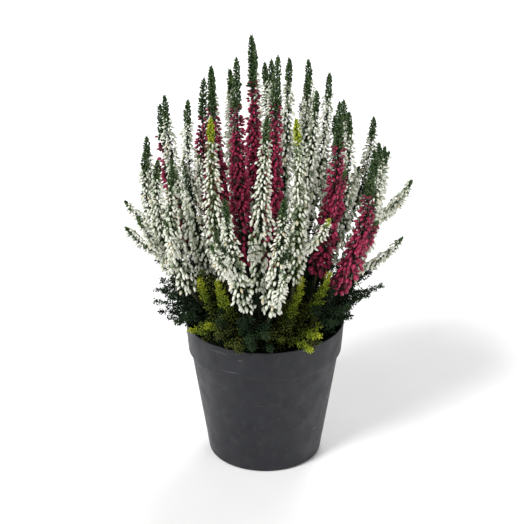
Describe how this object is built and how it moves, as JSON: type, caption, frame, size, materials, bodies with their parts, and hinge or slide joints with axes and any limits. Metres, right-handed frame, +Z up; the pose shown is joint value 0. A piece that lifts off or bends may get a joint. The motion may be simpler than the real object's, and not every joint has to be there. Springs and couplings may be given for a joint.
{
  "type": "potted heather",
  "caption": "Bud-flowering heather in a round tapered nursery pot of peat: upright spikes of white and crimson buds with green tips over dark green and lime leafy stems.",
  "frame": {"origin": "middle of the pot's underside, on the surface that it stands on", "axes": "+Z up along the pot's axis; -Y is the front, where the picture's camera stands"},
  "size_m": [0.1861, 0.1923, 0.2949],
  "materials": {
    "pot_plastic": "satin moulded nursery plastic, dark grey",
    "soil_peat": "damp crumbly peat, dark brown",
    "dark_leaf": "matt dark green scale leaves on woody stems",
    "lime_leaf": "matt lime green scale leaves on woody stems",
    "white_bud": "white closed buds with green leafy tips",
    "crimson_bud": "crimson closed buds with dark green leafy tips"
  },
  "bodies": {
    "root": {"pot": "pot_plastic", "soil": "soil_peat", "dark_leafy_stem_01": "dark_leaf", "dark_leafy_stem_02": "dark_leaf", "dark_leafy_stem_03": "dark_leaf", "dark_leafy_stem_04": "dark_leaf", "dark_leafy_stem_06": "dark_leaf", "dark_leafy_stem_07": "dark_leaf", "dark_leafy_stem_08": "dark_leaf", "dark_leafy_stem_09": "dark_leaf", "dark_leafy_stem_10": "dark_leaf", "dark_leafy_stem_12": "dark_leaf", "dark_leafy_stem_13": "dark_leaf", "dark_leafy_stem_14": "dark_leaf", "lime_leafy_stem_05": "lime_leaf", "lime_leafy_stem_11": "lime_leaf", "lime_leafy_stem_15": "lime_leaf", "crimson_spike_01": "crimson_bud", "crimson_spike_02": "crimson_bud", "crimson_spike_03": "crimson_bud", "crimson_spike_04": "crimson_bud", "crimson_spike_05": "crimson_bud", "crimson_spike_06": "crimson_bud", "crimson_spike_07": "crimson_bud", "crimson_spike_08": "crimson_bud", "white_spike_01": "white_bud", "white_spike_02": "white_bud", "white_spike_03": "white_bud", "white_spike_04": "white_bud", "white_spike_05": "white_bud", "white_spike_06": "white_bud", "white_spike_07": "white_bud", "white_spike_08": "white_bud", "white_spike_09": "white_bud", "white_spike_10": "white_bud", "white_spike_11": "white_bud", "white_spike_12": "white_bud", "white_spike_13": "white_bud", "white_spike_14": "white_bud", "white_spike_15": "white_bud", "white_spike_16": "white_bud", "white_spike_17": "white_bud", "white_spike_18": "white_bud", "white_spike_19": "white_bud", "white_spike_20": "white_bud", "white_spike_21": "white_bud", "white_spike_22": "white_bud", "white_spike_23": "white_bud", "white_spike_24": "white_bud", "white_spike_25": "white_bud", "white_spike_26": "white_bud", "white_spike_27": "white_bud", "white_spike_28": "white_bud", "white_spike_29": "white_bud", "white_spike_30": "white_bud", "white_spike_31": "white_bud", "white_spike_32": "white_bud"}
  },
  "joints": []
}
